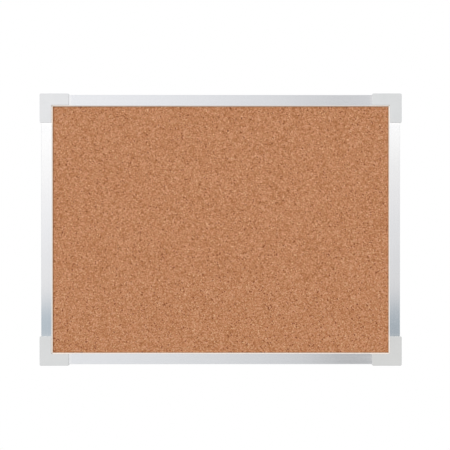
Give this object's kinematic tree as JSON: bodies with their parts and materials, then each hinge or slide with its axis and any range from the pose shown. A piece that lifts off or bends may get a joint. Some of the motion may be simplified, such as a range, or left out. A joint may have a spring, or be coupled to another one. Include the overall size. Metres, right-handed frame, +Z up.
{
  "type": "cork bulletin board",
  "caption": "Wall-mounted cork bulletin board: cork on a softboard panel in a slim aluminium frame, with moulded corners whose pull-off covers hide the wall screws.",
  "frame": {"origin": "in the wall plane, at the centre of the four wall-screw holes, which is also the centre of the board", "axes": "+X to the viewer's right along the long side, +Z up along the short side, +Y into the wall; the cork faces -Y and the moulded corners rest on the wall at y = 0"},
  "size_m": [0.605, 0.017, 0.455],
  "materials": {
    "cork": "matte",
    "softboard": "matte",
    "kraft_paper": "matte",
    "anodised_aluminium": "satin",
    "grey_plastic": "matte",
    "zinc_steel": "satin"
  },
  "bodies": {
    "frame": {"cork_sheet": "cork", "core_board": "softboard", "backing_sheet": "kraft_paper", "top_rail": "anodised_aluminium", "bottom_rail": "anodised_aluminium", "left_rail": "anodised_aluminium", "right_rail": "anodised_aluminium", "corner_base_top_left": "grey_plastic", "corner_base_top_right": "grey_plastic", "corner_base_bottom_left": "grey_plastic", "corner_base_bottom_right": "grey_plastic", "rail_screws": "zinc_steel"},
    "cover_top_left": {"corner_cover_top_left": "grey_plastic"},
    "cover_top_right": {"corner_cover_top_right": "grey_plastic"},
    "cover_bottom_left": {"corner_cover_bottom_left": "grey_plastic"},
    "cover_bottom_right": {"corner_cover_bottom_right": "grey_plastic"}
  },
  "joints": [
    {"name": "cover_top_left_pull", "type": "slide", "parent": "frame", "child": "cover_top_left", "axis": [0, -1, 0], "range_m": [0, 0.025]},
    {"name": "cover_top_right_pull", "type": "slide", "parent": "frame", "child": "cover_top_right", "axis": [0, -1, 0], "range_m": [0, 0.025]},
    {"name": "cover_bottom_left_pull", "type": "slide", "parent": "frame", "child": "cover_bottom_left", "axis": [0, -1, 0], "range_m": [0, 0.025]},
    {"name": "cover_bottom_right_pull", "type": "slide", "parent": "frame", "child": "cover_bottom_right", "axis": [0, -1, 0], "range_m": [0, 0.025]}
  ]
}
